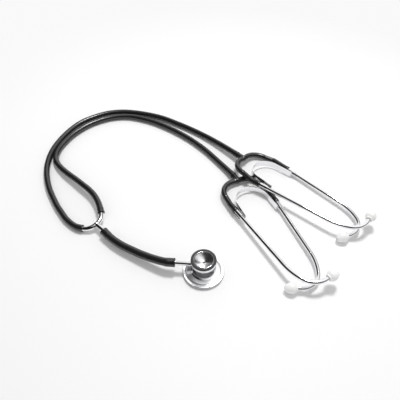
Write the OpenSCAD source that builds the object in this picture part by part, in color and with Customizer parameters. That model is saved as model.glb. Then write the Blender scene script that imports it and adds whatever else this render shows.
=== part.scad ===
// Teaching stethoscope: one double-sided chestpiece, a Y connector and two binaural headsets,
// laid on a table. The origin is the centre of the diaphragm side, in the plane of its rim.
// +Z is up, +X points from the chestpiece toward the lowest ear tips.

/* [Diaphragm side] */
// Outer diameter of the retaining ring
ring_d = 45; // [42:0.5:50]
// Height of the retaining ring
ring_h = 3.3; // [2.8:0.1:4.2]
// Wall of the retaining ring
ring_wall = 1.3; // [1:0.1:2]
// Width of the inward lip that holds the membrane
lip_w = 1.1; // [0.8:0.1:1.8]
// Thickness of that lip
lip_t = 0.6; // [0.4:0.1:0.9]
// Thickness of the membrane
membrane_t = 0.3; // [0.2:0.05:0.5]
// Width of the flat rim of the chestpiece above the membrane
rim_w = 1.8; // [1.2:0.1:2.6]
// Depth of the sound chamber at its centre
chamber_depth = 1.9; // [1.2:0.1:2.2]

/* [Neck] */
// Height of the stem's axis above the diaphragm rim
axis_h = 14; // [13:0.5:16]
// Diameter of the neck at its waist
neck_d = 19.6; // [17:0.2:21]
// Diameter of the foot of the neck on the dish
neck_foot_d = 24.6; // [23:0.2:26]
// Height of the foot of the neck
neck_foot_h = 5; // [4.4:0.1:6]
// Length of the turned part of the neck at its waist
waist_h = 3.4; // [2:0.1:4]

/* [Bell side] */
// Diameter of the bell's skirt
skirt_d = 27.2; // [26:0.2:29]
// Height of the seat of the bell cup on the neck
bell_seat_h = 17; // [17:0.1:18.5]
// Height of the skirt
skirt_h = 4.7; // [3.8:0.1:5.5]
// Outer diameter of the non-chill ring
chill_d = 27.6; // [27.4:0.2:31]
// Height of the non-chill ring
chill_h = 1.8; // [1.6:0.1:3]
// Diameter of the bell's mouth
mouth_d = 23; // [20:0.2:23.6]
// Diameter of the throat and of the two sound passages
throat_d = 2.8; // [2:0.1:3.2]
// Height of the throat above the seat of the bell cup
throat_h = 1.2; // [1:0.1:1.6]
// Mean diameter of the threaded collar under the bell cup
collar_d = 13; // [12:0.5:14]
// Wall of that collar
collar_wall = 2.2; // [1.6:0.1:2.6]
// Height of that collar
collar_h = 1.4; // [1:0.1:1.6]

/* [Stem] */
// Outer diameter of the stem between the chestpiece and the hose
stem_d = 5.5; // [5:0.1:6.4]
// Diameter of the spindle that turns in the neck
spindle_d = 5.2; // [4.4:0.1:5.2]
// Distance from the chestpiece's axis to the end of the hose
stem_reach = 30.4; // [26:0.2:36]
// Distance that the spindle reaches past the chestpiece's axis
spindle_past = 7; // [6:0.2:8]
// Diameter of the bore of the stem
stem_bore = 2.6; // [2:0.1:3]
// Diameter of the side port of the spindle
port_d = 2.4; // [1.8:0.1:2.6]
// Diameter of the collar of the stem beside the neck
stem_collar_d = 7.2; // [6.6:0.1:8]
// Width of that collar
stem_collar_w = 1.6; // [1:0.1:2.4]
// Length of the barbed end inside the hose
stem_barb_len = 9; // [7:0.5:11]

/* [Index catch] */
// Diameter of the index ball
ball_d = 2.4; // [2:0.1:2.6]
// Depth of the groove that the ball runs in
groove_depth = 0.5; // [0.3:0.1:0.6]
// Distance of the catch from the chestpiece's axis, along the spindle
catch_offset = 4.5; // [4:0.1:5]
// Wire diameter of the catch spring
catch_wire = 0.35; // [0.25:0.05:0.4]
// Number of turns of the catch spring
catch_turns = 4; // [3:1:6]
// Length of the catch spring
catch_spring_len = 2; // [1.6:0.1:2.2]
// Diameter of the grub screw
grub_d = 3; // [2.8:0.1:3.4]
// Width of the slot of the grub screw
grub_slot = 0.6; // [0.4:0.1:0.8]
// Depth of that slot
grub_slot_depth = 0.7; // [0.4:0.1:1]

/* [Hoses] */
// Outer diameter of the hose of the chestpiece
chest_hose_d = 9.2; // [8:0.2:10]
// Bore of the hose of the chestpiece
chest_hose_bore = 4.6; // [4:0.1:5]
// Outer diameter of the hoses of the headsets
trunk_hose_d = 7.6; // [7:0.1:7.8]
// Bore of the hoses of the headsets
trunk_hose_bore = 4.2; // [3.6:0.1:4.4]
// How much a hose swells where it is pushed over a fitting
hose_swell = 0.6; // [0.2:0.1:0.8]

/* [Y connector] */
// Outer diameter of the Y connector's tubes
y_tube_d = 6; // [5.4:0.1:6.6]
// Bore of the Y connector
y_bore = 3.4; // [2.8:0.1:3.8]
// Bend radius of its two arms
y_bend_r = 15.5; // [14:0.5:18]
// Angle that each arm bends through
y_bend = 62; // [55:1:66]
// Length of its stem
y_stem_len = 13.4; // [11:0.2:15]
// Length of a barbed end inside a hose
y_barb_len = 7; // [6:0.5:9]
// Diameter of a barb
barb_d = 5.2; // [4.8:0.1:5.6]
// Number of barbs on an end
barb_count = 3; // [2:1:4]

/* [Ear tubes] */
// Outer diameter of an ear tube
tube_d = 4.8; // [4.4:0.1:5]
// Wall of an ear tube
tube_wall = 0.7; // [0.5:0.1:1]
// Straight length from the headset's arm to the first bend
tube_len = 98; // [94:1:102]
// Length of the ear tube inside the arm
tube_in = 8; // [6:0.5:10]
// Radius of the long bend
sweep_r = 60; // [54:1:66]
// Angle of the long bend
sweep_angle = 26; // [24:1:28]
// Radius of the bend toward the ear
hook_r = 20.7; // [19:0.1:22]
// Angle of the bend toward the ear on the two lower tubes
hook_low = 88; // [84:1:90]
// Angle of the bend toward the ear on the two upper tubes
hook_high = 66; // [62:1:70]
// Straight end before the ear tip
tail_len = 3; // [2:0.5:5]

/* [Ear tips] */
// Largest diameter of an ear tip
tip_d = 12.4; // [11:0.1:12.6]
// Length of an ear tip
tip_len = 14; // [12:0.5:16]
// Diameter of its collar
tip_collar_d = 8.2; // [7.4:0.1:9]
// Diameter of the sound hole
tip_hole_d = 2.8; // [2:0.1:3.4]
// Depth of the socket for the ear tube
tip_socket = 7.2; // [6:0.2:8]

/* [Headset yokes] */
// Outer diameter of an arm
arm_d = 6.8; // [6.4:0.1:7]
// Bore of the yoke
yoke_bore = 3; // [2.6:0.1:3.2]
// Bend radius of an arm of headset A
arm_bend_a = 18.6; // [18:0.1:19]
// Bend radius of an arm of headset B
arm_bend_b = 20.5; // [19:0.1:21]
// Length of the socket of the fork, toward the hose
fork_len = 9; // [6:0.5:10]
// Outer diameter of an arm where the ear tube is inside it
sleeve_d = 7.2; // [7:0.1:7.4]
// Outer diameter of an arm's end, stretched over the ear tube
arm_end_d = 8; // [7.6:0.1:8.2]
// Length of the stretched end
arm_end_len = 7; // [5:0.5:9]

/* [Leaf springs] */
// Height of a leaf spring's strip
leaf_h = 7; // [5:0.5:7.4]
// Thickness of the strip
leaf_t = 0.9; // [0.6:0.1:1.2]
// Inner bend radius of headset A's strip
leaf_r_a = 20.3; // [18:0.1:20.5]
// Inner bend radius of headset B's strip
leaf_r_b = 21; // [18:0.1:21.2]
// Distance of the bend's apex behind the opening axis
leaf_back = 6.2; // [4:0.2:7]
// Distance of the strip's ends in front of the opening axis
leaf_reach = 36; // [33:0.5:38]
// Outer diameter of the rolled cuff that grips an ear tube
cuff_d = 6.4; // [6:0.1:6.6]
// Length of the cuff
cuff_len = 11; // [9:0.5:14]
// Opening angle of the cuff's seam
cuff_seam = 50; // [30:5:80]

/* [Fits] */
// Radial clearance of the spindle, the ball and the screw in their bores
run_fit = 0.05; // [0.02:0.01:0.1]
// Radial clearance of an ear tube in its arm and of its cuff
sleeve_fit = 0.08; // [0.04:0.02:0.1]
// Radial clearance of an ear tip on its tube
tip_fit = 0.05; // [0.02:0.01:0.1]
// Gap between pieces that lie face to face
seat_gap = 0.02; // [0.01:0.01:0.05]
// Gap between a leaf spring and the cuffs that it presses on
leaf_gap = 0.15; // [0.1:0.05:0.3]

/* [Hidden] */
$fn = 64;

// Heights and radii of the diaphragm side
membrane_z = lip_t + seat_gap;
rim_z = membrane_z + membrane_t + seat_gap;
plate_r = ring_d / 2 - ring_wall - seat_gap;
chamber_r = plate_r - rim_w;
// The dish drops by this much inside its rim
dish_step = 0.4;
dish_r = plate_r - 0.9;
chamfer = 0.4;

// Heights and radii of the bell side
skirt_z = bell_seat_h + seat_gap;
skirt_top = skirt_z + skirt_h;
mouth_z = skirt_top + chill_h;
throat_z = skirt_z + throat_h;
cup_slope = (mouth_z - throat_z) / (mouth_d / 2 - throat_d / 2);
// The bell cup's rim stands in the ring, this far below the mouth
cup_rim_drop = 1;
cup_rim_z = mouth_z - cup_rim_drop;
cup_rim_inner = throat_d / 2 + (cup_rim_z - throat_z) / cup_slope;
cup_rim_outer = skirt_d / 2 - 0.9;
// The threaded collar grows out of the neck from this depth
collar_root = 0.2;

// Spindle, bores and catch
bore_r = spindle_d / 2 + run_fit;
groove_r = ball_d / 2 + run_fit;
groove_at = spindle_d / 2 - groove_depth + groove_r;
ball_bore_r = ball_d / 2 + run_fit;
catch_spring_at = groove_at + ball_d / 2 + seat_gap;
screw_at = catch_spring_at + catch_spring_len + 2 * seat_gap;
neck_r_at_catch = sqrt(pow(neck_d / 2, 2) - pow(catch_offset, 2));
screw_len = neck_r_at_catch - screw_at - 0.2;
// Direction of the stem in the table plane
stem_turn = 175.3;

// The Y connector's branch point and how it leans
y_at = [-124.8, 60.6, 6.97];
y_lean = [-9.3, 3.4, 136];

// Each headset: opening axis in the table plane, direction, distance of the fork behind the axis,
// half the width of the arms, height of the fork, the yoke's lean and its bend radius
SET_A = [[72.9, 154.25], -43, 26, 25, 8.6, 9.5, arm_bend_a];
SET_B = [[54.3, 111.6], -64.7, 24.5, 27.4, 5.8, 3.4, arm_bend_b];
// Each ear tube: headset, side, where it leaves the arm, pitch, roll, inward lean and end of the arm
A_LOW = [SET_A, 1, [12, 27.3, 4.4], 0.85, 0, 3.8, 16.7, hook_low];
A_HIGH = [SET_A, -1, [17, 27, 12.8], 1.4, 2, 3.9, 5, hook_high];
B_LOW = [SET_B, 1, [12, 27.4, 4.4], 0.85, 0, 4.4, 16.7, hook_low];
B_HIGH = [SET_B, -1, [17, 27, 7.2], 3.7, 2, 4.4, 5, hook_high];

// Points of the chestpiece's hose, from the stem to the Y connector
CHEST_PATH = [[-30.3, 2.5, 14], [-35, 2.9, 14], [-40, 3.4, 13.8], [-46, 5.4, 13],
    [-52, 8, 12], [-58, 10.8, 11.1], [-64, 13.9, 10.3], [-71, 17.5, 9.6],
    [-78, 21.6, 9.1], [-85, 25.5, 8.7], [-92, 29.8, 8.4], [-98.5, 34.5, 8.2],
    [-104.5, 39.5, 8.1], [-110, 45, 8], [-115, 50.4, 7.9]];
// Points of the hose to headset A
TRUNK_A_PATH = [[-140, 56.5, 4.5], [-148, 59, 4.3], [-156, 64.5, 4], [-164, 72.5, 4],
    [-171, 82, 4], [-178, 92, 4], [-185, 104, 4], [-192, 117, 4],
    [-198, 131, 4], [-202.5, 145, 4], [-205.5, 159, 4], [-206.5, 173, 4],
    [-206, 187, 4], [-203.5, 201, 4], [-199, 215, 4], [-193, 229, 4],
    [-185, 243, 4], [-175, 255, 4], [-163, 264, 4], [-149, 272, 4],
    [-134, 277, 4], [-118, 278.5, 4], [-102, 277, 4], [-86, 273.5, 4],
    [-70, 268.5, 4], [-55, 262, 4], [-40, 253, 4], [-24, 243, 4],
    [-8, 231.5, 4.2], [8, 218.5, 4.8], [21, 206, 6], [33, 193.5, 7.3],
    [47.3, 178.1, 8.6]];
// Points of the hose to headset B
TRUNK_B_PATH = [[-121, 76, 8.8], [-124, 85, 9.4], [-128.5, 95.5, 9.9], [-135, 106, 10],
    [-143, 115, 10], [-152.5, 124, 9.7], [-163, 134, 9], [-174, 144, 8],
    [-184, 154.5, 6.6], [-192, 165, 5.2], [-197, 176, 4.3], [-198, 188, 4],
    [-195.5, 201, 4], [-190.5, 213.5, 4], [-184, 226, 4], [-175, 238, 4],
    [-164, 249, 4], [-150.5, 258, 4], [-136, 264.5, 4], [-121, 267.5, 4],
    [-106, 267, 4], [-90, 262.5, 4], [-74, 256, 4], [-58, 247, 4],
    [-43, 237, 4], [-29, 226, 4], [-16, 214.5, 4], [-4, 202, 4],
    [7, 189, 4], [17, 175.5, 4], [26, 163, 4.2], [33.5, 152, 4.9],
    [39.8, 142.1, 5.7]];
hose_sides = 12;
// How much a joint between two lengths of tube stands proud of them
joint_bead = 0.04;
// The same at the corner of a yoke's arm
corner_bead = 0.3;

function unit(v) = v / norm(v);
function tangent(path, i) = unit(path[min(i + 1, len(path) - 1)] - path[max(i - 1, 0)]);
// One ring of points square to the path at point i
function ring_at(path, i, r, sides) =
    let (t = tangent(path, i), s = unit(cross([0, 0, 1], t)), u = cross(t, s))
    [for (k = [0:sides - 1]) path[i] + r * (cos(360 * k / sides) * s + sin(360 * k / sides) * u)];
// A hose swells over the fitting at each end
function hose_r(i, n, r, swell) = i < 2 || i > n - 3 ? r + swell / 2 : r;

// Hollow hose swept along a path
module hose(path, d, bore, swell) {
    n = len(path);
    m = hose_sides;
    skin = [for (i = [0:n - 1]) each ring_at(path, i, hose_r(i, n, d / 2, swell), m)];
    lining = [for (i = [0:n - 1]) each ring_at(path, i, bore / 2, m)];
    half = n * m;
    walls = [for (i = [0:n - 2], k = [0:m - 1])
        [i * m + k, (i + 1) * m + k, (i + 1) * m + (k + 1) % m, i * m + (k + 1) % m]];
    start = [for (k = [0:m - 1]) [k, (k + 1) % m, half + (k + 1) % m, half + k]];
    last = (n - 1) * m;
    finish = [for (k = [0:m - 1])
        [last + (k + 1) % m, last + k, half + last + k, half + last + (k + 1) % m]];
    inner = [for (w = walls) [half + w[3], half + w[2], half + w[1], half + w[0]]];
    polyhedron(points = concat(skin, lining), faces = concat(walls, start, finish, inner));
}

// Closed wire swept along a path
module wire(path, d, sides) {
    n = len(path);
    skin = [for (i = [0:n - 1]) each ring_at(path, i, d / 2, sides)];
    walls = [for (i = [0:n - 2], k = [0:sides - 1])
        [i * sides + k, (i + 1) * sides + k, (i + 1) * sides + (k + 1) % sides,
            i * sides + (k + 1) % sides]];
    start = [[for (k = [0:sides - 1]) k]];
    finish = [[for (k = [sides - 1:-1:0]) (n - 1) * sides + k]];
    polyhedron(points = skin, faces = concat(walls, start, finish));
}

// Round bar from p to q
module rod(p, q, d) {
    v = q - p;
    translate(p) rotate([0, acos(v[2] / norm(v)), atan2(v[1], v[0])]) cylinder(d = d, h = norm(v));
}

// Round bar along +x
module bar(d, from, to) {
    translate([from, 0, 0]) rotate([0, 90, 0]) cylinder(d = d, h = to - from);
}

// Bent bar that starts at the origin along +x and turns toward -y, with a brazed joint at each end
module bend(d, r, angle) {
    translate([0, -r, 0]) rotate([0, 0, 90 - angle]) {
        rotate_extrude(angle = angle) translate([r, 0]) circle(d = d);
        for (turn = [0, angle]) rotate([0, 0, turn]) translate([r, 0, 0]) rotate([90, 0, 0])
            sphere(d = d + joint_bead);
    }
}

// Carries its children to the end of such a bend
module past_bend(r, angle) {
    translate([0, -r, 0]) rotate([0, 0, -angle]) translate([0, r, 0]) children();
}

// Barbed end of a fitting, along +x, that a hose is pushed over
module barbs(core_d, top_d, length) {
    pitch = length / barb_count;
    bar(core_d, -1, length);
    for (i = [0:barb_count - 1])
        translate([i * pitch, 0, 0]) rotate([0, 90, 0]) cylinder(d1 = top_d, d2 = core_d, h = pitch);
}

// Frame of the stem: the axis is x, from the chestpiece's centre to the hose
module on_stem() {
    translate([0, 0, axis_h]) rotate([0, 0, stem_turn]) children();
}

// Frame of the catch: z runs from the spindle's axis out through the neck
module on_catch() {
    on_stem() translate([-catch_offset, 0, 0]) rotate([90, 0, 0]) children();
}

module chestpiece_body() {
    color("silver") difference() {
        rotate_extrude() polygon([
            [0, rim_z + chamber_depth], [chamber_r, rim_z + 0.5], [chamber_r, rim_z],
            [plate_r, rim_z], [plate_r, ring_h - chamfer / 2], [plate_r - chamfer / 2, ring_h],
            [dish_r, ring_h], [dish_r - dish_step / 2, ring_h - dish_step],
            [neck_foot_d / 2 + 1.5, neck_foot_h - 0.7], [neck_foot_d / 2, neck_foot_h],
            [neck_d / 2 + 1.55, neck_foot_h + 2.2], [neck_d / 2 + 0.75, neck_foot_h + 4.6],
            [neck_d / 2, axis_h - waist_h / 2], [neck_d / 2, axis_h + waist_h / 2 - 0.9],
            [neck_d / 2 + 0.7, axis_h + waist_h / 2 + 0.1], [skirt_d / 2 - 1.2, bell_seat_h - 0.3],
            [skirt_d / 2 - 0.9, bell_seat_h], [0, bell_seat_h]]);
        on_stem() bar(2 * bore_r, -spindle_past - 0.3, ring_d / 2);
        on_catch() cylinder(r = ball_bore_r, h = screw_at);
        on_catch() translate([0, 0, screw_at]) cylinder(r = grub_d / 2 + run_fit, h = neck_d);
        translate([0, 0, membrane_z]) cylinder(d = throat_d, h = mouth_z);
    }
    color("silver") translate([0, 0, bell_seat_h - collar_root]) difference() {
        cylinder(d = collar_d + collar_wall, h = collar_root + collar_h);
        translate([0, 0, -1]) cylinder(d = collar_d - collar_wall, h = collar_h + 2);
    }
}

module bell_cup() {
    color("silver") difference() {
        rotate_extrude() polygon([
            [throat_d / 2, skirt_z], [skirt_d / 2 - 0.8, skirt_z], [skirt_d / 2, skirt_z + 0.8],
            [skirt_d / 2, skirt_top], [cup_rim_outer, skirt_top], [cup_rim_outer, cup_rim_z],
            [cup_rim_inner, cup_rim_z], [throat_d / 2, throat_z]]);
        translate([0, 0, skirt_z - 1]) difference() {
            cylinder(d = collar_d + collar_wall + 2 * run_fit, h = collar_h + 1 + seat_gap);
            translate([0, 0, -1])
                cylinder(d = collar_d - collar_wall - 2 * run_fit, h = collar_h + 4);
        }
    }
}

module bell_ring() {
    inner = cup_rim_outer + seat_gap;
    color("dimgray") rotate_extrude() polygon([
        [inner, skirt_top + seat_gap], [skirt_d / 2, skirt_top + seat_gap],
        [chill_d / 2, skirt_top + 0.4], [chill_d / 2, mouth_z - 0.8],
        [chill_d / 2 - 0.3, mouth_z - 0.25], [chill_d / 2 - 0.9, mouth_z],
        [mouth_d / 2, mouth_z], [cup_rim_inner, cup_rim_z + seat_gap],
        [inner, cup_rim_z + seat_gap]]);
}

module diaphragm() {
    color("whitesmoke") translate([0, 0, membrane_z]) cylinder(r = plate_r, h = membrane_t, $fn = 96);
}

module diaphragm_ring() {
    r = ring_d / 2;
    color("gainsboro") rotate_extrude($fn = 96) polygon([
        [r - ring_wall - lip_w, 0], [r - chamfer, 0], [r, chamfer], [r, ring_h - chamfer],
        [r - chamfer, ring_h], [r - ring_wall, ring_h], [r - ring_wall, lip_t],
        [r - ring_wall - lip_w, lip_t]]);
}

module stem() {
    shoulder = skirt_d / 2 + 0.35;
    color("silver") on_stem() difference() {
        union() {
            bar(spindle_d, -spindle_past, shoulder);
            bar(stem_collar_d, shoulder, shoulder + stem_collar_w);
            bar(stem_d, shoulder + stem_collar_w, stem_reach);
            translate([stem_reach, 0, 0]) barbs(chest_hose_bore - 0.6, barb_d, stem_barb_len);
        }
        bar(stem_bore, -throat_d, stem_reach + stem_barb_len + 1);
        translate([0, 0, -spindle_d]) cylinder(d = port_d, h = spindle_d);
        translate([-catch_offset, 0, 0]) rotate([0, 90, 0]) rotate_extrude()
            translate([groove_at, 0]) circle(r = groove_r, $fn = 32);
    }
}

module index_ball() {
    color("gainsboro") on_catch() translate([0, 0, groove_at]) sphere(d = ball_d);
}

module index_spring() {
    steps = 12;
    coil_r = ball_d / 2 - catch_wire / 2;
    rise = (catch_spring_len - catch_wire) / (catch_turns * steps);
    path = [for (i = [0:catch_turns * steps])
        [coil_r * cos(360 * i / steps), coil_r * sin(360 * i / steps), i * rise]];
    color("gray") on_catch() translate([0, 0, catch_spring_at + catch_wire / 2])
        wire(path, catch_wire, 6);
}

module index_screw() {
    color("gray") on_catch() translate([0, 0, screw_at + seat_gap]) difference() {
        cylinder(d = grub_d, h = screw_len);
        translate([-grub_d, -grub_slot / 2, screw_len - grub_slot_depth])
            cube([2 * grub_d, grub_slot, grub_d]);
    }
}

module chest_hose() {
    color("black") hose(CHEST_PATH, chest_hose_d, chest_hose_bore, hose_swell);
}

module trunk_hose_a() {
    color("black") hose(TRUNK_A_PATH, trunk_hose_d, trunk_hose_bore, hose_swell);
}

module trunk_hose_b() {
    color("black") hose(TRUNK_B_PATH, trunk_hose_d, trunk_hose_bore, hose_swell);
}

// One arm of the Y connector, toward -y, with its barbed end
module y_arm() {
    rotate([0, 0, -90]) mirror([0, 1, 0]) {
        bend(y_tube_d, y_bend_r, y_bend);
        past_bend(y_bend_r, y_bend) barbs(trunk_hose_bore - 0.4, barb_d, y_barb_len);
    }
}

// The bore of that arm
module y_arm_bore() {
    rotate([0, 0, -90]) mirror([0, 1, 0]) {
        bend(y_bore, y_bend_r, y_bend);
        past_bend(y_bend_r, y_bend) bar(y_bore, 0, y_barb_len + 1);
    }
}

module y_connector() {
    color("silver") translate(y_at) rotate(y_lean) difference() {
        union() {
            y_arm();
            mirror([0, 1, 0]) y_arm();
            bar(y_tube_d, -y_stem_len, 0);
            rotate([0, 90, 0]) sphere(d = y_tube_d + 0.6);
            translate([-y_stem_len, 0, 0]) mirror([1, 0, 0])
                barbs(chest_hose_bore - 0.6, barb_d, y_barb_len);
        }
        y_arm_bore();
        mirror([0, 1, 0]) y_arm_bore();
        bar(y_bore, -y_stem_len - y_barb_len - 1, 0);
    }
}

// Frame of a headset: the opening axis is z, the ear tips lie toward +x
module headset(set) {
    translate([set[0][0], set[0][1], 0]) rotate([0, 0, set[1]]) children();
}

// Frame of an ear tube: x runs along the straight part from its mark at the arm, the ear lies
// toward -y
module ear_frame(ear) {
    headset(ear[0]) mirrored(ear[1]) translate(ear[2]) rotate([-ear[4], -ear[3], -ear[5]]) children();
}

module mirrored(side) {
    if (side < 0) mirror([0, 1, 0]) children();
    else children();
}

// Course of an ear tube at one diameter, from inside the arm to inside the ear tip; extra lengthens
// both ends
module ear_course(d, hook, extra) {
    bar(d, -tube_in - extra, tube_len);
    translate([tube_len, 0, 0]) {
        bend(d, sweep_r, sweep_angle);
        past_bend(sweep_r, sweep_angle) {
            bend(d, hook_r, hook);
            past_bend(hook_r, hook) bar(d, 0, tail_len + tip_socket - 0.2 + extra);
        }
    }
}

// Carries its children to the place of the ear tip, x out of the ear tube
module at_tip(hook) {
    translate([tube_len, 0, 0]) past_bend(sweep_r, sweep_angle) past_bend(hook_r, hook)
        translate([tail_len, 0, 0]) children();
}

module ear_tube(ear) {
    color("silver") ear_frame(ear) difference() {
        ear_course(tube_d, ear[7], 0);
        ear_course(tube_d - 2 * tube_wall, ear[7], 1);
    }
}

module ear_tube_a_low() ear_tube(A_LOW);
module ear_tube_a_high() ear_tube(A_HIGH);
module ear_tube_b_low() ear_tube(B_LOW);
module ear_tube_b_high() ear_tube(B_HIGH);

// Rolled cuff with its open seam on the outer side
module cuff(ear) {
    start = ear[6] + 0.4;
    inner = tube_d / 2 + sleeve_fit;
    color("gainsboro") ear_frame(ear) translate([start, 0, 0]) rotate([0, 90, 0])
        rotate([0, 0, 90 + cuff_seam / 2]) rotate_extrude(angle = 360 - cuff_seam)
        translate([inner, 0]) square([cuff_d / 2 - inner, cuff_len]);
}

module cuff_a_low() cuff(A_LOW);
module cuff_a_high() cuff(A_HIGH);
module cuff_b_low() cuff(B_LOW);
module cuff_b_high() cuff(B_HIGH);

module ear_tip(ear) {
    r = tip_d / 2;
    socket_r = tube_d / 2 + tip_fit;
    color("white") ear_frame(ear) at_tip(ear[7]) rotate([0, 90, 0]) rotate_extrude() polygon([
        [socket_r, 0], [tip_collar_d / 2 - 0.4, 0], [tip_collar_d / 2, 0.4],
        [tip_collar_d / 2, 1.6], [r - 1.3, 2.4], [r - 0.3, 3.7], [r, 5.4], [r - 0.2, 7.4],
        [r - 0.8, 9.3], [r - 1.8, 11.1], [r - 3.1, tip_len - 1.3], [r - 4.2, tip_len - 0.3],
        [tip_hole_d / 2 + 0.3, tip_len], [tip_hole_d / 2, tip_len - 0.3],
        [tip_hole_d / 2, tip_socket], [socket_r, tip_socket]]);
}

module ear_tip_a_low() ear_tip(A_LOW);
module ear_tip_a_high() ear_tip(A_HIGH);
module ear_tip_b_low() ear_tip(B_LOW);
module ear_tip_b_high() ear_tip(B_HIGH);

// Direction of an ear tube in its headset's frame
function ear_dir(ear) = [cos(ear[3]) * cos(ear[5]), -ear[1] * cos(ear[3]) * sin(ear[5]), sin(ear[3])];
// Point on an ear tube's axis at a distance from its mark
function ear_point(ear, x) = [ear[2][0], ear[1] * ear[2][1], ear[2][2]] + x * ear_dir(ear);
// End of an arm's bend in its headset's frame
function arm_corner(set, side) = [-set[2] + set[6], side * set[3] * cos(set[5]),
    set[4] - side * set[3] * sin(set[5])];

// Distance from a tube's mark back to the start of its sleeve
sleeve_back = tube_in + 0.2;

// One arm of a yoke from the fork to its sleeve, at one diameter; extra runs on into the sleeve
module arm_course(ear, d, extra) {
    set = ear[0];
    side = ear[1];
    translate([0, 0, set[4]]) rotate([-set[5], 0, 0]) mirrored(side) translate([-set[2], 0, 0]) {
        rod([0, 0, 0], [0, set[3] - set[6], 0], d);
        translate([0, set[3] - set[6], 0]) rotate([0, 0, 90]) bend(d, set[6], 90);
    }
    corner = arm_corner(set, side);
    sleeve = ear_point(ear, -sleeve_back);
    translate(corner) rotate([0, 90, 0]) sphere(d = d + corner_bead);
    rod(corner, sleeve + extra * unit(sleeve - corner), d);
}

// Stretched end of an arm, in the frame of its ear tube
module arm_end(ear) {
    end = ear[6];
    rotate([0, 90, 0]) {
        translate([0, 0, -sleeve_back]) sphere(d = sleeve_d + joint_bead);
        translate([0, 0, -sleeve_back]) cylinder(d = sleeve_d, h = sleeve_back + end - arm_end_len);
        translate([0, 0, end - arm_end_len])
            cylinder(d1 = sleeve_d, d2 = arm_end_d, h = arm_end_len - 2.4);
        translate([0, 0, end - 2.4]) cylinder(d = arm_end_d, h = 1.6);
        translate([0, 0, end - 0.8]) cylinder(d1 = arm_end_d, d2 = arm_end_d - 1, h = 0.8);
    }
}

module yoke(low, high) {
    set = low[0];
    color("black") difference() {
        union() {
            headset(set) {
                arm_course(low, arm_d, 0);
                arm_course(high, arm_d, 0);
                translate([-set[2] - fork_len, 0, set[4]]) bar(trunk_hose_d, 0, fork_len);
                translate([-set[2], 0, set[4]]) rotate([90 - set[5], 0, 0])
                    sphere(d = trunk_hose_d + 0.4);
            }
            for (ear = [low, high]) ear_frame(ear) arm_end(ear);
        }
        headset(set) {
            arm_course(low, yoke_bore, 1);
            arm_course(high, yoke_bore, 1);
            translate([-set[2] - fork_len, 0, set[4]]) bar(yoke_bore, -1, fork_len);
            translate([-set[2], 0, set[4]]) rotate([90 - set[5], 0, 0])
                sphere(d = yoke_bore + joint_bead);
        }
        for (ear = [low, high]) ear_frame(ear)
            bar(tube_d + 2 * sleeve_fit, -sleeve_back, ear[6] + 1);
    }
}

module yoke_a() yoke(A_LOW, A_HIGH);
module yoke_b() yoke(B_LOW, B_HIGH);

// Distance of a leaf spring's end from the middle, so that it lies beside the cuff
function leaf_end_y(ear) = ear[2][1] - (leaf_reach - ear[2][0]) * tan(ear[5])
    - cuff_d / 2 - leaf_gap - leaf_t / 2;
// Height of the cuff beside the leaf spring's end
function leaf_end_z(ear) = ear_point(ear, leaf_reach - ear[2][0])[2];

module leaf_spring(low, high, inner) {
    r = inner + leaf_t / 2;
    middle_x = r - leaf_back;
    z_low = leaf_end_z(low);
    z_high = leaf_end_z(high);
    lean = atan((z_high - z_low) / (leaf_end_y(low) + leaf_end_y(high)));
    color("gainsboro") headset(low[0]) translate([0, 0, (z_low + z_high) / 2]) rotate([-lean, 0, 0])
        translate([0, 0, -leaf_h / 2]) linear_extrude(leaf_h) {
        translate([middle_x, 0]) intersection() {
            difference() {
                circle(r = inner + leaf_t, $fn = 96);
                circle(r = inner, $fn = 96);
            }
            translate([-2 * r, -2 * r]) square([2 * r, 4 * r]);
        }
        for (ear = [low, high]) {
            y0 = ear[1] * r;
            y1 = ear[1] * leaf_end_y(ear) / cos(lean);
            polygon([[middle_x, y0 - leaf_t / 2], [leaf_reach, y1 - leaf_t / 2],
                [leaf_reach, y1 + leaf_t / 2], [middle_x, y0 + leaf_t / 2]]);
        }
    }
}

module leaf_spring_a() leaf_spring(A_LOW, A_HIGH, leaf_r_a);
module leaf_spring_b() leaf_spring(B_LOW, B_HIGH, leaf_r_b);

chestpiece_body();
bell_cup();
bell_ring();
diaphragm();
diaphragm_ring();
index_ball();
index_spring();
index_screw();
stem();
chest_hose();
y_connector();
trunk_hose_a();
trunk_hose_b();
yoke_a();
yoke_b();
leaf_spring_a();
leaf_spring_b();
ear_tube_a_low();
ear_tube_a_high();
ear_tube_b_low();
ear_tube_b_high();
cuff_a_low();
cuff_a_high();
cuff_b_low();
cuff_b_high();
ear_tip_a_low();
ear_tip_a_high();
ear_tip_b_low();
ear_tip_b_high();
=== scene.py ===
# %% [markdown]
# # A teaching stethoscope on a white table
#
# The instrument has one chestpiece and two headsets, so that a teacher and a student listen
# together. The packed CAD model gives every rigid piece its exact form and place. This lesson
# loads it, sets up the photographer's camera, lays soft hoses along their routes, and then gives
# each piece its finish.

import math

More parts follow.
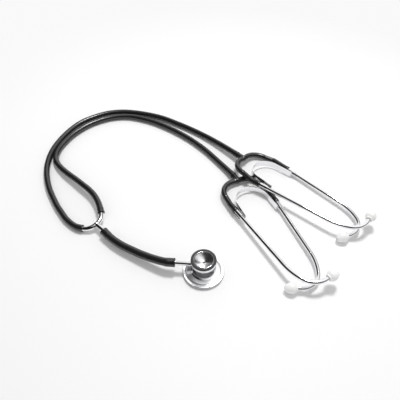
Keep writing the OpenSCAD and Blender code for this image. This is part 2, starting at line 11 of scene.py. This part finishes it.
import bmesh
import bpy
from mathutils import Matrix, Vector


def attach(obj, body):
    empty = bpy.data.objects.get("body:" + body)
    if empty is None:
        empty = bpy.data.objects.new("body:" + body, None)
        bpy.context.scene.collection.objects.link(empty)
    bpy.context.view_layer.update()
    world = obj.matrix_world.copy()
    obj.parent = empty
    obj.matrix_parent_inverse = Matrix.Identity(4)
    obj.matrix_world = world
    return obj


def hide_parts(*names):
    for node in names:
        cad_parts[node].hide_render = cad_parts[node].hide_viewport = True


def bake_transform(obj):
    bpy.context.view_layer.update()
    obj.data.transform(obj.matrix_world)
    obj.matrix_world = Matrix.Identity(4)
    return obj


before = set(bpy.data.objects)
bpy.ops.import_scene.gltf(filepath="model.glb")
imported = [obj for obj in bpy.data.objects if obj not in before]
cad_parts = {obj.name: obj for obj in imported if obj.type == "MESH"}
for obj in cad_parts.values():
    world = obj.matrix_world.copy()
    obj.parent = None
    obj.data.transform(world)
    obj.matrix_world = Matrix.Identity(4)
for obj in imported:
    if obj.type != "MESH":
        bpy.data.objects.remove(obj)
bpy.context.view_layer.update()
scene = bpy.context.scene
MM = 0.001

# %% [markdown]
# The photograph was taken from above, looking down by about 48 degrees with an ordinary lens. The
# camera stands before the chestpiece, so the headsets on the right spread toward the viewer. A
# camera that only tips forward keeps the horizon level, which is why one angle is enough here.

# %% The camera
LOOK_DOWN = 48
SENSOR, FOCAL_LENGTH = 36, 40.95
lens = bpy.data.cameras.new("studio_camera")
lens.sensor_width = SENSOR
lens.lens = FOCAL_LENGTH
lens.clip_start = 0.01
lens.clip_end = 20
camera = bpy.data.objects.new("studio_camera", lens)
camera.location = (-0.0038, -0.27374, 0.42103)
camera.rotation_euler = (math.pi / 2 - math.radians(LOOK_DOWN), 0, 0)
scene.collection.objects.link(camera)
scene.camera = camera
scene.view_settings.view_transform = "Standard"
print("the camera sees", round(2 * math.degrees(math.atan(SENSOR / 2 / FOCAL_LENGTH))), "degrees")

# %% [markdown]
# A hose is a soft tube that lies as it fell. Its route is a list of points on the table, the same
# ones that the CAD model uses. A Catmull-Rom curve runs through all of them, so the hose lies
# where the points say, and more points are put in near both ends, where the hose changes its
# width within a few millimetres.

# %% Smooth routes
END_STEPS = (0.0003, 0.0006, 0.0011, 0.0016, 0.002, 0.003)
END_CLEAR = 0.0004


def smooth_route(points, steps):
    """Points on a Catmull-Rom curve through the given points, in metres."""
    knots = [Vector(p) * MM for p in points]
    knots = [2 * knots[0] - knots[1]] + knots + [2 * knots[-1] - knots[-2]]
    route = []
    for a, b, c, d in zip(knots, knots[1:], knots[2:], knots[3:]):
        for i in range(steps):
            t = i / steps
            route.append(0.5 * (2 * b + (c - a) * t + (2 * a - 5 * b + 4 * c - d) * t * t
                                + (3 * b - a - 3 * c + d) * t ** 3))
    return route + [knots[-2]]


def distances(route):
    """How far along the route each point lies."""
    run = [0.0]
    for a, b in zip(route, route[1:]):
        run.append(run[-1] + (b - a).length)
    return run


def end_steps(route):
    """The route with extra points near both ends, where the hose changes its radius quickly."""
    first, last = route[0], route[-1]
    ahead, back = (route[1] - first).normalized(), (route[-2] - last).normalized()
    reach = END_STEPS[-1] + END_CLEAR
    middle = [p for p in route if (p - first).length > reach and (p - last).length > reach]
    return ([first] + [first + s * ahead for s in END_STEPS] + middle
            + [last + s * back for s in reversed(END_STEPS)] + [last])


corner = smooth_route([(0, 0, 0), (10, 0, 0), (10, 10, 0)], 6)
print("a corner of 20 mm becomes a curve of", round(distances(corner)[-1] / MM, 1), "mm")

# %% [markdown]
# Where a hose is pushed over a metal fitting it swells, a short step shows where the barb ends,
# and the cut end has a moulded lip. So the tube is made ring by ring, each ring with a radius of
# its own, which takes more lines than a bevelled curve but gives a hold on every step of its
# width.

# %% A tube with a changing radius
HOSE_SIDES = 28
STEP_LENGTH = 0.003
LIP_HEIGHT, LIP_PLACE, LIP_REACH = 0.0003, 0.0011, 0.0009
END_ROUND, END_REACH = 0.0005, 0.0006


def sweep(name, route, radii):
    """Closed tube whose radius is given at each point of the route."""
    mesh = bpy.data.meshes.new(name)
    bm = bmesh.new()
    rings = []
    for i, centre in enumerate(route):
        ahead = (route[min(i + 1, len(route) - 1)] - route[max(i - 1, 0)]).normalized()
        sideways = Vector((0, 0, 1)).cross(ahead).normalized()
        upward = ahead.cross(sideways)
        rings.append([
            bm.verts.new(centre + radii[i] * (math.cos(a) * sideways + math.sin(a) * upward))
            for a in (2 * math.pi * k / HOSE_SIDES for k in range(HOSE_SIDES))
        ])
    for near, far in zip(rings, rings[1:]):
        for k in range(HOSE_SIDES):
            following = (k + 1) % HOSE_SIDES
            bm.faces.new((near[k], near[following], far[following], far[k]))
    bm.faces.new(rings[0][::-1])
    bm.faces.new(rings[-1])
    bmesh.ops.recalc_face_normals(bm, faces=bm.faces)
    for face in bm.faces:
        face.smooth = len(face.verts) == 4
    bm.to_mesh(mesh)
    bm.free()
    piece = bpy.data.objects.new(name, mesh)
    scene.collection.objects.link(piece)
    return piece


def sleeve_profile(run, radius, swell, over):
    """Radius along a hose that swells over a fitting, with a moulded lip at its very end."""
    radii = []
    for s in run:
        inside = min(s, run[-1] - s)
        step = max(0.0, min(1.0, (over - inside) / STEP_LENGTH + 1))
        lip = LIP_HEIGHT * max(0.0, 1 - abs(inside - LIP_PLACE) / LIP_REACH)
        round_end = END_ROUND * max(0.0, 1 - inside / END_REACH)
        radii.append(radius + swell * step * step * (3 - 2 * step) + lip - round_end)
    return radii


sample = sleeve_profile([0, 1.1 * MM, 6 * MM, 50 * MM, 100 * MM], 3.8 * MM, 0.3 * MM, 7 * MM)
print("radius in mm at the end, lip, sleeve and middle:", [round(r / MM, 2) for r in sample[:4]])

# %% [markdown]
# The short hose leads from the chestpiece to the Y connector, and the two long ones loop behind
# it to the headsets. Each route lists (x, y, height) in millimetres, with points some 5 to 20 mm
# apart.

# %% The routes of the three hoses
CHEST_ROUTE = [(-30.3, 2.5, 14), (-35, 2.9, 14), (-40, 3.4, 13.8), (-46, 5.4, 13),
               (-52, 8, 12), (-58, 10.8, 11.1), (-64, 13.9, 10.3), (-71, 17.5, 9.6),
               (-78, 21.6, 9.1), (-85, 25.5, 8.7), (-92, 29.8, 8.4), (-98.5, 34.5, 8.2),
               (-104.5, 39.5, 8.1), (-110, 45, 8), (-115, 50.4, 7.9)]
TRUNK_A_ROUTE = [(-140, 56.5, 4.5), (-148, 59, 4.3), (-156, 64.5, 4), (-164, 72.5, 4),
                 (-171, 82, 4), (-178, 92, 4), (-185, 104, 4), (-192, 117, 4),
                 (-198, 131, 4), (-202.5, 145, 4), (-205.5, 159, 4), (-206.5, 173, 4),
                 (-206, 187, 4), (-203.5, 201, 4), (-199, 215, 4), (-193, 229, 4),
                 (-185, 243, 4), (-175, 255, 4), (-163, 264, 4), (-149, 272, 4),
                 (-134, 277, 4), (-118, 278.5, 4), (-102, 277, 4), (-86, 273.5, 4),
                 (-70, 268.5, 4), (-55, 262, 4), (-40, 253, 4), (-24, 243, 4),
                 (-8, 231.5, 4.2), (8, 218.5, 4.8), (21, 206, 6), (33, 193.5, 7.3),
                 (47.3, 178.1, 8.6)]
TRUNK_B_ROUTE = [(-121, 76, 8.8), (-124, 85, 9.4), (-128.5, 95.5, 9.9), (-135, 106, 10),
                 (-143, 115, 10), (-152.5, 124, 9.7), (-163, 134, 9), (-174, 144, 8),
                 (-184, 154.5, 6.6), (-192, 165, 5.2), (-197, 176, 4.3), (-198, 188, 4),
                 (-195.5, 201, 4), (-190.5, 213.5, 4), (-184, 226, 4), (-175, 238, 4),
                 (-164, 249, 4), (-150.5, 258, 4), (-136, 264.5, 4), (-121, 267.5, 4),
                 (-106, 267, 4), (-90, 262.5, 4), (-74, 256, 4), (-58, 247, 4),
                 (-43, 237, 4), (-29, 226, 4), (-16, 214.5, 4), (-4, 202, 4),
                 (7, 189, 4), (17, 175.5, 4), (26, 163, 4.2), (33.5, 152, 4.9),
                 (39.8, 142.1, 5.7)]
print("points:", [len(points) for points in (CHEST_ROUTE, TRUNK_A_ROUTE, TRUNK_B_ROUTE)])

# %% [markdown]
# The chestpiece's hose is the widest and covers 9 mm of its fitting, the others cover 7 mm. A
# cord is soft in the real world, so each hose is swept anew along its route, and the CAD hose is
# hidden.

# %% The hoses
STEPS_PER_POINT = 6
SWELL = 0.3
hoses = []
for node, points, width, over in (
    ("chest_hose", CHEST_ROUTE, 9.2, 9),
    ("trunk_hose_a", TRUNK_A_ROUTE, 7.6, 7),
    ("trunk_hose_b", TRUNK_B_ROUTE, 7.6, 7),
):
    route = end_steps(smooth_route(points, STEPS_PER_POINT))
    run = distances(route)
    radii = sleeve_profile(run, width / 2 * MM, SWELL * MM, over * MM)
    hose = sweep(node + "_skin", route, radii)
    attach(hose, "tubing")
    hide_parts(node)
    hoses.append(hose)
    print(node, "is", round(run[-1] / MM), "mm long")

# %% [markdown]
# A headset opens because its soft arms and its leaf spring bend. A rigid copy would stay behind
# when the ear tubes swing, so these four CAD pieces are replaced by copies of their own meshes.
# Each copy is cut where nothing moves, closed again, and given extra rings of points where it has
# to bend.

# %% Cutting a copy out of a CAD piece
HEADSETS = {"a": ((72.9, 154.25), -43.0), "b": ((54.3, 111.6), -64.7)}
WELD = 2e-6
CUT_SLACK = 1e-7
SHARP = math.radians(30)


def in_headset(headset, x, y):
    """A direction of the headset's own frame, x toward the ear tips and y toward the low tube."""
    turn = math.radians(HEADSETS[headset][1])
    return Vector((x * math.cos(turn) - y * math.sin(turn),
                   x * math.sin(turn) + y * math.cos(turn), 0))


def from_axis(headset, x, y):
    """A point of the headset, in millimetres from its opening axis."""
    return (Vector((*HEADSETS[headset][0], 0)) + in_headset(headset, x, y)) * MM


def everything(bm):
    """All the points, edges and faces of a mesh under construction."""
    return bm.verts[:] + bm.edges[:] + bm.faces[:]


def cut_copy(node, name, planes, rings):
    """The part of a CAD piece beyond each (point, direction), closed again, with rings cut in."""
    bm = bmesh.new()
    bm.from_mesh(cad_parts[node].data)
    bmesh.ops.remove_doubles(bm, verts=bm.verts, dist=WELD)
    for point, direction in planes:
        cut = bmesh.ops.bisect_plane(bm, geom=everything(bm), dist=CUT_SLACK, plane_co=point,
                                     plane_no=direction, clear_inner=True)
        rim = [part for part in cut["geom_cut"] if isinstance(part, bmesh.types.BMEdge)]
        bmesh.ops.triangle_fill(bm, use_beauty=True, edges=rim, normal=-direction)
    for point, direction in rings:
        bmesh.ops.bisect_plane(bm, geom=everything(bm), dist=CUT_SLACK, plane_co=point,
                               plane_no=direction)
    bmesh.ops.recalc_face_normals(bm, faces=bm.faces)
    open_edges = sum(not edge.is_manifold for edge in bm.edges)
    mesh = bpy.data.meshes.new(name)
    bm.to_mesh(mesh)
    bm.free()
    mesh.polygons.foreach_set("use_smooth", [True] * len(mesh.polygons))
    mesh.set_sharp_from_angle(angle=SHARP)
    piece = bpy.data.objects.new(name, mesh)
    scene.collection.objects.link(piece)
    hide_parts(node)
    print(name, len(mesh.polygons), "faces,", open_edges, "open edges")
    return piece


print("opening axes in mm:", {headset: place for headset, (place, turn) in HEADSETS.items()})

# %% [markdown]
# A yoke is one soft moulding: a fork that stays with its trunk hose, and two arms that bend. The
# fork is cut free on both sides, and the leaf spring in its middle. Each arm and each spring half
# is cut off, closed again and given evenly spaced rings of points across it, where it would bend.

# %% The yokes and the leaf springs
FORK_HALF = 5.5
OUTWARD = {"low": 1, "high": -1}
ARM_RINGS = range(-8, 8, 2)
SPRING_RINGS = range(16, 34, 2)
yokes, springs = [], []
for headset in "ab":
    yoke, spring = "yoke_" + headset, "leaf_spring_" + headset
    forward = in_headset(headset, 1, 0)
    fork = cut_copy(yoke, yoke + "_fork", [
        (from_axis(headset, 0, sign * FORK_HALF), in_headset(headset, 0, -sign))
        for sign in OUTWARD.values()], [])
    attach(fork, "tubing")
    yokes.append(fork)
    for level, sign in OUTWARD.items():
        outward = in_headset(headset, 0, sign)
        arm = cut_copy(yoke, yoke + "_arm_" + level,
                       [(from_axis(headset, 0, sign * FORK_HALF), outward)],
                       [(from_axis(headset, x, 0), forward) for x in ARM_RINGS])
        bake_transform(arm)
        yokes.append(arm)
        blade = cut_copy(spring, spring + "_" + level,
                         [(from_axis(headset, 0, 0), outward)],
                         [(from_axis(headset, x, 0), forward) for x in SPRING_RINGS])
        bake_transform(blade)
        springs.append(blade)

# %% [markdown]
# Shader maths reads best as plain expressions. This small class wraps a socket, so that `1 -
# mask` or `noise * 0.2` adds the Math node it needs, and one method adds any other node by name.


# %% Shader expressions
class Socket:
    """An output socket that can be used in arithmetic."""

    def __init__(self, tree, socket):
        self.tree, self.socket = tree, socket

    def math(self, operation, *values):
        node = self.tree.nodes.new("ShaderNodeMath")
        node.operation = operation
        for i, value in enumerate(values):
            if isinstance(value, Socket):
                self.tree.links.new(value.socket, node.inputs[i])
            else:
                node.inputs[i].default_value = value
        return Socket(self.tree, node.outputs[0])

    def __add__(self, other):
        return self.math("ADD", self, other)

    __radd__ = __add__

    def __mul__(self, other):
        return self.math("MULTIPLY", self, other)

    __rmul__ = __mul__

    def __sub__(self, other):
        return self.math("SUBTRACT", self, other)

    def __rsub__(self, other):
        return self.math("SUBTRACT", other, self)

    def power(self, other):
        return self.math("POWER", self, other)

    def absolute(self):
        return self.math("ABSOLUTE", self)

    def clamp(self):
        return self.math("MINIMUM", self.math("MAXIMUM", self, 0.0), 1.0)


class Graph:
    """A shader tree, for a finish or for the room."""

    def __init__(self, tree):
        self.tree = tree

    def add(self, kind, settings=None, output=0, **sockets):
        """A new node of any other kind, with its sockets named as keywords."""
        node = self.tree.nodes.new("ShaderNode" + kind)
        for key, value in (settings or {}).items():
            setattr(node, key, value)
        self.fill(node, sockets)
        return Socket(self.tree, node.outputs[output])

    def fill(self, node, sockets):
        """Sets or links inputs, found by their name, or by their identifier if two share a name."""
        for key, value in sockets.items():
            socket = next(s for s in node.inputs
                          if key in (s.name.replace(" ", "_"), s.identifier) and s.enabled)
            if isinstance(value, Socket):
                self.tree.links.new(value.socket, socket)
            else:
                socket.default_value = value


class Finish(Graph):
    """A material under construction."""

    def __init__(self, name):
        self.material = bpy.data.materials.new(name)
        self.material.use_nodes = True
        super().__init__(self.material.node_tree)
        self.shader = self.tree.nodes["Principled BSDF"]

    def set(self, **values):
        self.fill(self.shader, values)

    def place(self):
        """Position on the piece, in metres."""
        return self.add("TexCoord", output=3)

    def noise(self, scale, detail, roughness=0.5):
        return self.add("TexNoise", Vector=self.place(), Scale=scale, Detail=detail,
                        Roughness=roughness)

    def blend(self, factor, low, high):
        """Colour that goes from low to high with the factor."""
        return self.add("Mix", {"data_type": "RGBA"}, output=2,
                        Factor=factor, A=(*low, 1), B=(*high, 1))

    def bump(self, height, distance, strength):
        return self.add("Bump", Height=height, Distance=distance, Strength=strength)


def dress(names, finish):
    """Gives one finish to CAD nodes by name or to pieces."""
    for name in names:
        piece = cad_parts[name] if isinstance(name, str) else name
        piece.data.materials.clear()
        piece.data.materials.append(finish.material)
    print(finish.material.name, "on", len(names), "pieces")


print("a finish can:", [name for name in vars(Finish) if not name.startswith("_")])

# %% [markdown]
# The tubes, the stem and the Y connector are usually brass, bent or turned, then polished and
# chromed. Polished chrome is almost a mirror. What makes it read as metal is not its own colour
# but what it reflects, so its roughness stays low, with only faint cloudy variation from
# handling.

# %% Polished chrome
EARS = [headset + "_" + level for headset in "ab" for level in OUTWARD]
CHROME_SHADES = (0.86, 0.865, 0.88), (0.92, 0.92, 0.93)
POLISH_DEPTH, POLISH_STRENGTH = 0.00001, 0.15
chrome = Finish("polished_chrome")
handling = chrome.noise(60, 4, 0.6)
fine_marks = chrome.noise(900, 2)
chrome.set(Base_Color=chrome.blend(handling, *CHROME_SHADES), Metallic=1.0,
           Roughness=0.04 + 0.06 * handling,
           Normal=chrome.bump(fine_marks, POLISH_DEPTH, POLISH_STRENGTH))
dress(["stem", "y_connector"] + ["ear_tube_" + ear for ear in EARS], chrome)

# %% [markdown]
# The chestpiece is turned on a lathe and chromed. The waist between the dish and the bell is a
# deep groove that the polishing wheel hardly reaches, so its roughness is raised. It reflects the
# dark part of the room and looks almost black, and that dark reflection is painted into its
# colour. Three thin painted shadow lines lie beside the dish's bead and at the outer edge of its
# ring. The mask for the waist is the height on the piece, and the masks for the shadow lines are
# the distance from the middle. Below the waist, the dish is a little softer than the tubes,
# because a wide flat face is hard to polish evenly.

# %% Turned chrome with a painted dark waist and painted shadow lines
DISH_TOP, WAIST_LOW, WAIST_HIGH = 0.0048, 0.0050, 0.0172
EDGE, SOFT_EDGE, SHADOW_LINE_EDGE = 2500, 900, 3300
# Radii in mm of thin painted shadow lines beside the dish's bead and at the ring's outer edge
SHADOW_LINE_RADII = (17.9, 19.2, 22.3)
turned = Finish("turned_chrome")
wheel_marks = turned.noise(70, 4, 0.6)
x, y, z = (turned.add("SeparateXYZ", output=k, Vector=turned.place()) for k in range(3))
dish_face = ((DISH_TOP - z) * EDGE).clamp()
waist = ((z - WAIST_LOW) * SOFT_EDGE).clamp() * ((WAIST_HIGH - z) * EDGE).clamp()
from_spin = (x * x + y * y).power(0.5)
# Each painted shadow line is a thin dark band at one of these radii
painted_shadow_line = sum((1 - SHADOW_LINE_EDGE * (from_spin - place * MM).absolute()).clamp()
             for place in SHADOW_LINE_RADII)
# This mask paints shade: a dark reflection on the waist and thin shadow lines, and it also dulls
# them
dull_and_painted_dark = (waist * (1 - 0.25 * wheel_marks) + 0.8 * painted_shadow_line).clamp()
# The dark end of this blend is the painted shade of the waist and of the shadow lines
turned.set(Base_Color=turned.blend(dull_and_painted_dark, (0.88, 0.885, 0.90), (0.05, 0.05, 0.055)), Metallic=1.0,
           Roughness=0.05 + 0.05 * wheel_marks + 0.2 * dull_and_painted_dark + 0.16 * dish_face,
           Normal=turned.bump(wheel_marks, POLISH_DEPTH, POLISH_STRENGTH))
dress(["chestpiece_body", "diaphragm_ring"], turned)

# %% [markdown]
# The dish has a fine turned bead near its rim, and the bell's metal cup ends in a thin bright lip
# inside the black ring. Each is a small ring of round section, let halfway into what carries it.
# A ring like this is a circle swept round an axis, made point by point.

# %% Turned beads
BEAD_STEPS, BEAD_SIDES = 128, 12


def bead(name, radius, height, thickness):
    """Ring of round section around the chestpiece's own axis, in millimetres."""
    mesh = bpy.data.meshes.new(name)
    points, faces = [], []
    for i in range(BEAD_STEPS):
        turn = 2 * math.pi * i / BEAD_STEPS
        for k in range(BEAD_SIDES):
            lean = 2 * math.pi * k / BEAD_SIDES
            r = (radius + thickness / 2 * math.cos(lean)) * MM
            points.append((r * math.cos(turn), r * math.sin(turn),
                           (height + thickness / 2 * math.sin(lean)) * MM))
            here, there = i * BEAD_SIDES, (i + 1) % BEAD_STEPS * BEAD_SIDES
            following = (k + 1) % BEAD_SIDES
            faces.append((here + k, there + k, there + following, here + following))
    mesh.from_pydata(points, [], faces)
    mesh.polygons.foreach_set("use_smooth", [True] * len(mesh.polygons))
    piece = bpy.data.objects.new(name, mesh)
    scene.collection.objects.link(piece)
    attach(piece, "chestpiece")
    dress([piece], chrome)


bead("dish_bead", radius=18.55, height=3.2, thickness=0.7)
bead("cup_lip", radius=10.6, height=23.1, thickness=0.6)

# %% [markdown]
# The CAD cup is a straight cone, which is easy to turn. The polished cup in the picture is a
# shallow bowl, because a round bright spot sits in its middle. Rings are cut into a copy of the
# cup, and then each ring sinks a little, most halfway up, so that the sides curve down to a flat
# middle.

# %% The bowl of the bell
# Radius and height of the cone's two ends, in millimetres
THROAT, CUP_RIM = (1.4, 18.22), (9.594, 22.52)
BOWL_CURVE = 1.4
BOWL_RINGS, RING_STEP = 14, 0.3
ON_CONE = 0.05
deep, wide = CUP_RIM[1] - THROAT[1], CUP_RIM[0] - THROAT[0]
bowl = cut_copy("bell_cup", "bell_bowl", [], [
    (Vector((0, 0, (THROAT[1] + RING_STEP * k) * MM)), Vector((0, 0, 1)))
    for k in range(1, BOWL_RINGS + 1)])
sunk = 0
for vertex in bowl.data.vertices:
    share = (math.hypot(vertex.co.x, vertex.co.y) / MM - THROAT[0]) / wide
    if 0 < share < 1 and abs(vertex.co.z / MM - (THROAT[1] + share * deep)) < ON_CONE:
        vertex.co.z = (THROAT[1] + share ** BOWL_CURVE * deep) * MM
        sunk += 1
bowl.data.set_sharp_from_angle(angle=SHARP)
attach(bowl, "chestpiece")
print("points of the bowl moved:", sunk)

# %% [markdown]
# The inside of the bowl is chromed too, but a polishing wheel leaves fine swirls in so narrow a
# cup. They blur the room into soft bright and dark areas, which is why its roughness is higher.

# %% Satin chrome
satin = Finish("satin_chrome")
swirl = satin.noise(240, 3)
satin.set(Base_Color=satin.blend(swirl, *CHROME_SHADES), Metallic=1.0,
          Roughness=0.2 + 0.08 * swirl, Normal=satin.bump(swirl, POLISH_DEPTH, POLISH_STRENGTH))
dress([bowl], satin)

# %% [markdown]
# The leaf springs and the cuffs are rolled from plated strip. Rolling leaves a slightly softer
# shine with faint marks along the strip, so the noise is stretched: it changes slowly in two
# directions and quickly in the third.

# %% Plated spring steel
ROLLING_STRETCH = (60, 60, 900)
spring_steel = Finish("plated_spring_steel")
stretched = spring_steel.add("Mapping", Vector=spring_steel.place(), Scale=ROLLING_STRETCH)
rolling = spring_steel.add("TexNoise", Vector=stretched, Scale=5.0, Detail=4.0)
spring_steel.set(Base_Color=spring_steel.blend(rolling, (0.82, 0.825, 0.84), (0.9, 0.9, 0.91)),
                 Metallic=1.0, Roughness=0.14 + 0.1 * rolling,
                 Normal=spring_steel.bump(rolling, POLISH_DEPTH, POLISH_STRENGTH))
dress(springs + ["index_ball", "index_spring", "index_screw"] + ["cuff_" + ear for ear in EARS],
      spring_steel)

# %% [markdown]
# The hoses and yokes are soft black vinyl, extruded or dipped. It is very dark, with a broad soft
# highlight and a skin that is a little uneven from moulding. A slow noise clouds its gloss, and a
# little of a fine one is added to it for the grain of the skin.

# %% Black vinyl
SKIN_DEPTH = 0.00003
vinyl = Finish("black_vinyl")
cloud = vinyl.noise(120, 4, 0.6)
grain = vinyl.noise(2600, 2)
vinyl.set(Base_Color=vinyl.blend(cloud, (0.009, 0.009, 0.010), (0.017, 0.0165, 0.018)),
          Roughness=0.18 + 0.12 * cloud, Specular_IOR_Level=0.8,
          Normal=vinyl.bump(cloud + 0.3 * grain, SKIN_DEPTH, 0.25))
dress(yokes + hoses, vinyl)

# %% [markdown]
# The ring on the bell is a harder, matt black rubber, so that the bell doesn't feel cold. It is
# moulded and stretched over the cup's edge. Fine specks in its gloss and its surface keep it
# matt.

# %% Ring rubber
ring_rubber = Finish("ring_rubber")
speck = ring_rubber.noise(1500, 3, 0.6)
ring_rubber.set(Base_Color=(0.012, 0.012, 0.013, 1), Roughness=0.42 + 0.16 * speck,
                Normal=ring_rubber.bump(speck, SKIN_DEPTH, 0.4))
dress(["bell_ring"], ring_rubber)

# %% [markdown]
# The ear tips are moulded from soft white vinyl. It is almost pure white and nearly matt, so the
# lamp leaves only a soft bright side on it and no sharp spot.

# %% White vinyl
white_vinyl = Finish("white_vinyl")
haze = white_vinyl.noise(300, 3)
white_vinyl.set(Base_Color=white_vinyl.blend(haze, (0.94, 0.94, 0.93), (0.97, 0.97, 0.96)),
                Roughness=0.38 + 0.1 * haze, Normal=white_vinyl.bump(haze, SKIN_DEPTH, 0.2))
dress(["ear_tip_" + ear for ear in EARS], white_vinyl)

# %% [markdown]
# The membrane of the diaphragm side is a stiff pale plastic sheet with a faint weave of glass
# fibre. It faces the table, and shows only when the chestpiece is turned over. A fine checker
# stands for the weave, in its colour, its gloss and its surface.

# %% Membrane
WEAVE_SCALE = 900.0
membrane = Finish("membrane_sheet")
weave = membrane.add("TexChecker", Vector=membrane.place(), Scale=WEAVE_SCALE, output=1)
membrane.set(Base_Color=membrane.blend(weave, (0.60, 0.61, 0.61), (0.68, 0.69, 0.68)),
             Roughness=0.3 + 0.05 * weave, Normal=membrane.bump(weave, SKIN_DEPTH, 0.4))
dress(["diaphragm"], membrane)

# %% [markdown]
# The table is a smooth white sheet, the same in all directions. Its own colour makes the
# background pale, and the shadows stay on it. Far from the instrument, where the lamp hardly
# reaches, the eye and the metal see the sheet as evenly white, so that it has no edge and no grey
# horizon.

# %% The table
SHEET_WHITE = 0.95
SHEET_SIZE, SHEET_DROP = 8, 0.0003
FADE_FROM, FADE_RATE = 0.38, 4
bpy.ops.mesh.primitive_plane_add(size=SHEET_SIZE, location=(0, 0, -SHEET_DROP))
table = bpy.context.object
table.name = "table_top"
white_sheet = Finish("white_sheet")
white_sheet.set(Base_Color=white_sheet.blend(white_sheet.noise(3, 2), (0.94, 0.94, 0.945),
                                             (0.96, 0.96, 0.965)), Roughness=0.6)
from_middle = white_sheet.add("VectorMath", {"operation": "LENGTH"}, output=1,
                              Vector=white_sheet.place())
eye, mirror = (white_sheet.add("LightPath", output=k) for k in (0, 3))
fade = ((from_middle - FADE_FROM) * FADE_RATE).clamp() * (eye + mirror)
faded = white_sheet.add("MixShader", Fac=fade,
                        Shader=Socket(white_sheet.tree, white_sheet.shader.outputs[0]),
                        Shader_001=white_sheet.add("Emission", Strength=SHEET_WHITE))
white_sheet.fill(white_sheet.tree.nodes["Material Output"], {"Surface": faded})
table.data.materials.append(white_sheet.material)
print("the sheet is", SHEET_SIZE, "m wide and fades from", FADE_FROM, "m outward")

# %% [markdown]
# The shadows in a picture tell where its lamp is. Here they are short, dark where a piece touches
# the table and fall a little toward the viewer, so one fairly small soft lamp hangs high up, just
# behind the instrument.

# %% The lamp
LAMP_PLACE, LAMP_TARGET = Vector((0.18, 0.52, 1.4)), Vector((0.0, 0.1, 0.0))
lamp = bpy.data.lights.new("softbox", "AREA")
lamp.shape = "DISK"
lamp.size = 0.34
lamp.energy = 12
softbox = bpy.data.objects.new("softbox", lamp)
softbox.location = LAMP_PLACE
softbox.rotation_euler = (LAMP_TARGET - LAMP_PLACE).to_track_quat("-Z", "Y").to_euler()
scene.collection.objects.link(softbox)
print("the lamp is", round((LAMP_PLACE - LAMP_TARGET).length, 2), "m from the instrument")

# %% [markdown]
# Chrome is a mirror, so the room matters as much as the lamp. In a room that is white all round,
# a polished tube would vanish against the white table. The real picture has a fine black line
# along all the metal, which is the dark lower part of the room. So this room has a pale ceiling,
# a white backdrop behind the table and a dark band along the rest of its horizon. The eye sees it
# as white as the sheet, and everything that isn't a mirror gets an even, weaker light from it.

# %% The room that the chrome reflects
CEILING_EDGE, CEILING_RATE = 0.77, 4
BACKDROP_EDGE, BACKDROP_RATE = 0.85, 10
DARK_ROOM, PALE_ROOM, EVEN_LIGHT = 0.01, 1.05, 0.55
scene.world = bpy.data.worlds.new("studio_room")
scene.world.use_nodes = True
room = Graph(scene.world.node_tree)
view = room.add("TexCoord")
right, behind, above = (room.add("SeparateXYZ", output=k, Vector=view) for k in range(3))
ceiling = ((above + 0.45 * right + 0.2 * behind - CEILING_EDGE) * CEILING_RATE).clamp()
backdrop = ((behind + 0.3 * above - BACKDROP_EDGE) * BACKDROP_RATE).clamp()
mirrored = DARK_ROOM + PALE_ROOM * (ceiling + backdrop).clamp()
camera_ray, mirror_ray = (room.add("LightPath", output=k) for k in (0, 3))
room.fill(room.tree.nodes["Background"], {
    "Color": (1, 1, 1, 1),
    "Strength": (SHEET_WHITE * camera_ray + mirror_ray * mirrored
                 + EVEN_LIGHT * (1 - camera_ray - mirror_ray))})
print("nodes in the room:", len(room.tree.nodes))

# %% [markdown]
